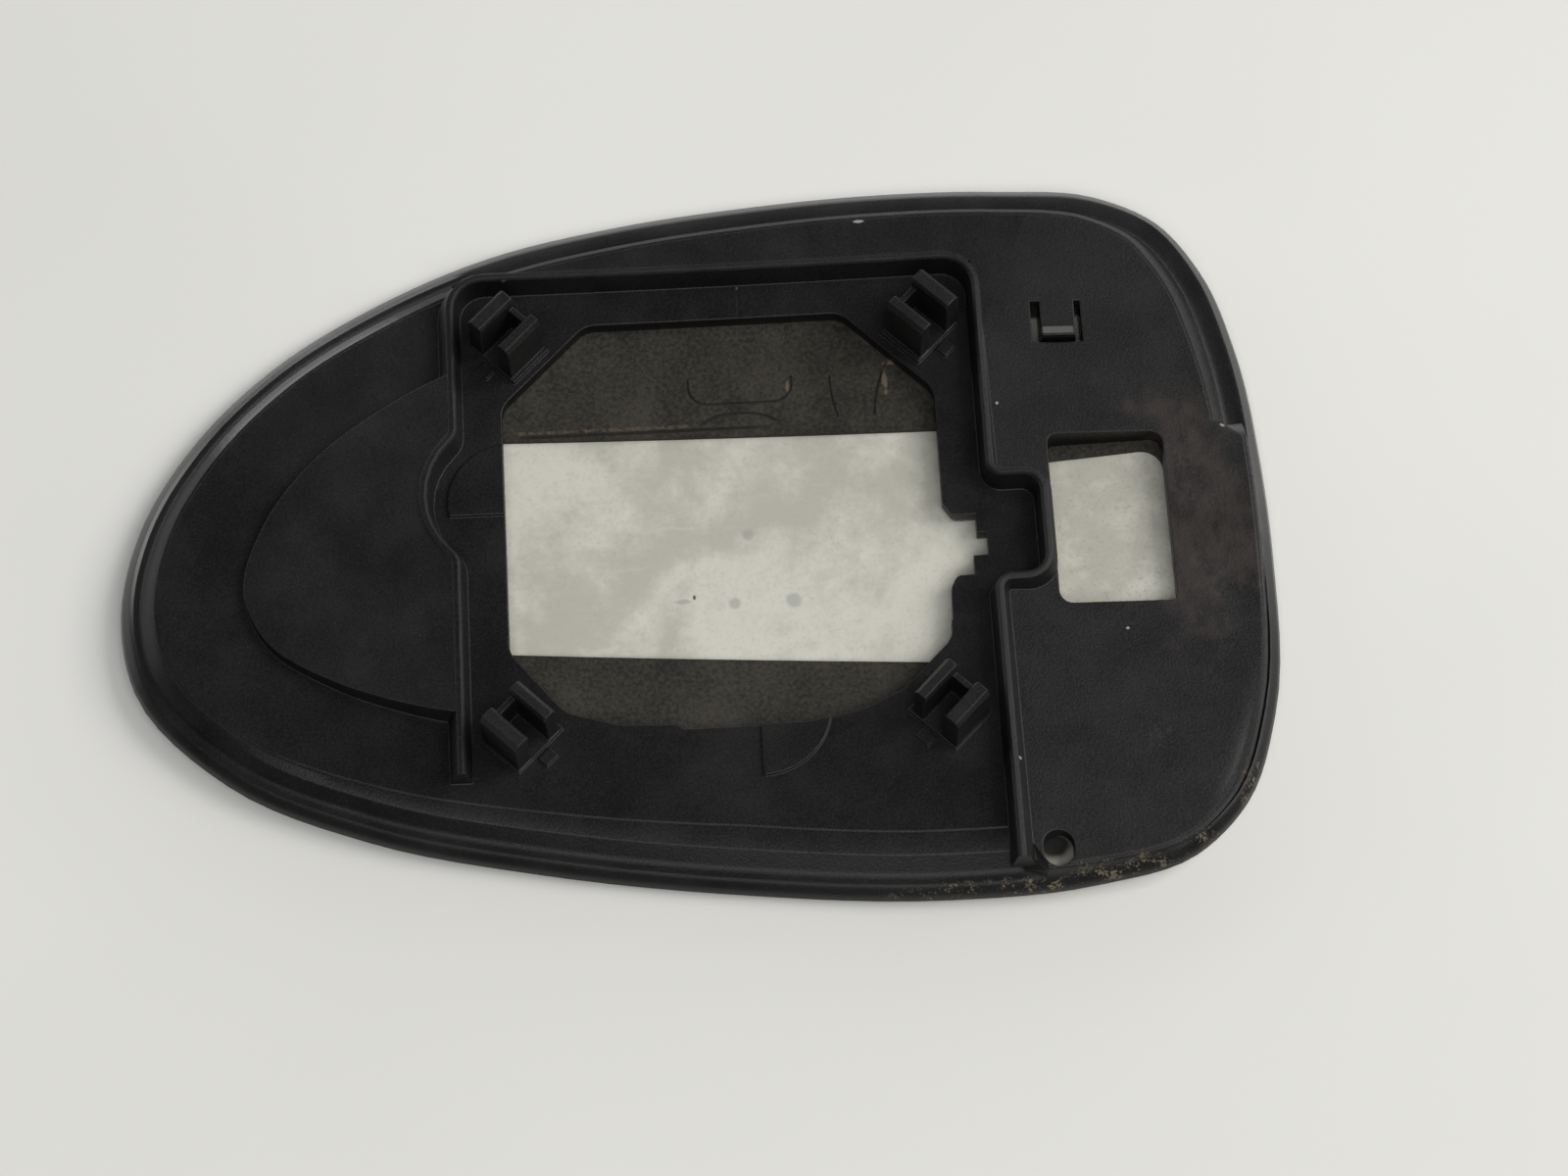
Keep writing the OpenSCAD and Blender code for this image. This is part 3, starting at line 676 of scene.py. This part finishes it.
ROOM_DARK = (0.06, 0.061, 0.065, 1.0)
ROOM_BRIGHT = (1.9, 1.93, 1.96, 1.0)
# Upward part of a direction where the bright band begins and is full, then its part along Y
BAND_TOP = 0.46
BAND_FULL = 0.28
BAND_SIDE = -0.15
BAND_AHEAD = 0.4
DAY_WHITE = (1.0, 0.985, 0.96)
PLAIN_WHITE = (1.0, 1.0, 1.0)


def soft_lamp(name, place, width, height, power, tone):
    """A rectangular lamp that faces the object."""
    data = bpy.data.lights.new(name, "AREA")
    data.shape = "RECTANGLE"
    data.size = width
    data.size_y = height
    data.energy = power
    data.color = tone
    lamp = bpy.data.objects.new(name, data)
    lamp.location = place
    lamp.rotation_euler = (-Vector(place)).to_track_quat("-Z", "Y").to_euler()
    bpy.context.collection.objects.link(lamp)


def daylight():
    """A room that is dark overhead, bright beyond the table, with a window on the right."""
    world = bpy.data.worlds.new("room")
    bpy.context.scene.world = world
    world.use_nodes = True
    world.node_tree.nodes.clear()
    t = Tree(world.node_tree)
    way = t.parts(t.add("ShaderNodeTexCoord").outputs["Generated"])
    low = t.step(way["Z"], BAND_TOP, BAND_FULL)
    far = t.step(way["Y"], BAND_SIDE, BAND_AHEAD)
    colour = t.blend(t.times(low, far), ROOM_DARK, ROOM_BRIGHT)
    ground = t.add("ShaderNodeBackground", {"Color": colour, "Strength": 1.0})
    output = t.add("ShaderNodeOutputWorld")
    t.feed(output.inputs["Surface"], ground.outputs["Background"])
    soft_lamp("window", (1.6, 0.15, 1.5), width=1.5, height=1.3, power=34.0, tone=DAY_WHITE)
    soft_lamp("ceiling", (0.2, -1.0, 1.9), width=1.8, height=1.4, power=27.0, tone=PLAIN_WHITE)


# The photograph's frame is 1600 px wide, 4040 px is its focal length in the same pixels
PHOTO_WIDTH = 1600
PHOTO_FOCAL = 4040
SENSOR = 36.0
CAMERA_TILT = 22.0
CAMERA_TURN = 3.25
CAMERA_PLACE = on_plate(-4.3, -233.85, 560.0)
NEAREST_SEEN = 0.01


def photo_camera():
    """The photograph's viewing angle and frame."""
    data = bpy.data.cameras.new("photo_camera")
    data.sensor_width = SENSOR
    data.lens = SENSOR * PHOTO_FOCAL / PHOTO_WIDTH
    data.clip_start = NEAREST_SEEN
    camera = bpy.data.objects.new("photo_camera", data)
    camera.location = CAMERA_PLACE
    camera.rotation_euler = (math.radians(CAMERA_TILT), 0, -math.radians(CAMERA_TURN))
    bpy.context.collection.objects.link(camera)
    bpy.context.scene.camera = camera


table()
daylight()
photo_camera()
bpy.context.scene.view_settings.view_transform = "Standard"
